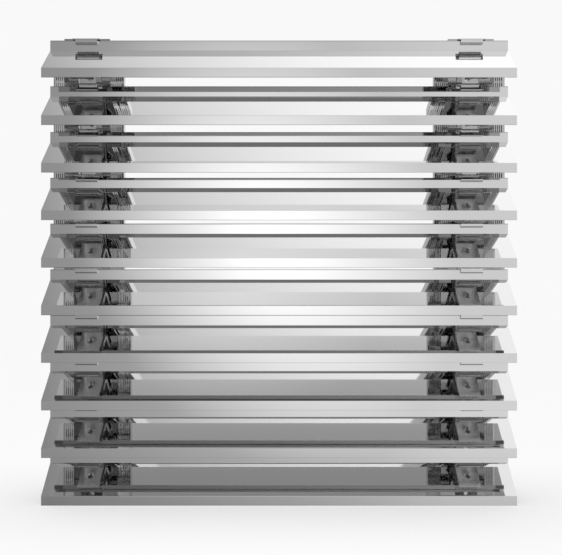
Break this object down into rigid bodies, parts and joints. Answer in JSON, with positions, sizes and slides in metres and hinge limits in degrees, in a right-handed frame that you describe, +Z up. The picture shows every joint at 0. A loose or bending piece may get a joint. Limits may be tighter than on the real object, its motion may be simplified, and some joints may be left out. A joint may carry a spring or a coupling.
{
  "type": "ventilation grille",
  "caption": "Ventilation grille of horizontal Z-shaped metal blades clipped one above another on upright posts, letting air through a wall while keeping rain out.",
  "frame": {"origin": "centre of the bounding box's bottom face: midway along the blades, midway from the lips' front to the posts' back, at the floor", "axes": "+X along the blades, +Y towards the back where the posts are fixed, +Z up"},
  "size_m": [0.5, 0.0874, 0.501],
  "materials": {
    "blade": "bright, mirror-like anodised",
    "clip": "mill-finish extrusion",
    "post": "satin anodised",
    "screw": "plain stainless"
  },
  "bodies": {
    "root": {"left_post": "post", "right_post": "post", "blade_01": "blade", "left_clip_01": "clip", "left_screw_01": "screw", "right_clip_01": "clip", "right_screw_01": "screw", "blade_02": "blade", "left_clip_02": "clip", "left_screw_02": "screw", "right_clip_02": "clip", "right_screw_02": "screw", "blade_03": "blade", "left_clip_03": "clip", "left_screw_03": "screw", "right_clip_03": "clip", "right_screw_03": "screw", "blade_04": "blade", "left_clip_04": "clip", "left_screw_04": "screw", "right_clip_04": "clip", "right_screw_04": "screw", "blade_05": "blade", "left_clip_05": "clip", "left_screw_05": "screw", "right_clip_05": "clip", "right_screw_05": "screw", "blade_06": "blade", "left_clip_06": "clip", "left_screw_06": "screw", "right_clip_06": "clip", "right_screw_06": "screw", "blade_07": "blade", "left_clip_07": "clip", "left_screw_07": "screw", "right_clip_07": "clip", "right_screw_07": "screw", "blade_08": "blade", "left_clip_08": "clip", "left_screw_08": "screw", "right_clip_08": "clip", "right_screw_08": "screw", "blade_09": "blade", "left_clip_09": "clip", "left_screw_09": "screw", "right_clip_09": "clip", "right_screw_09": "screw", "blade_10": "blade", "left_clip_10": "clip", "left_screw_10": "screw", "right_clip_10": "clip", "right_screw_10": "screw"}
  },
  "joints": []
}
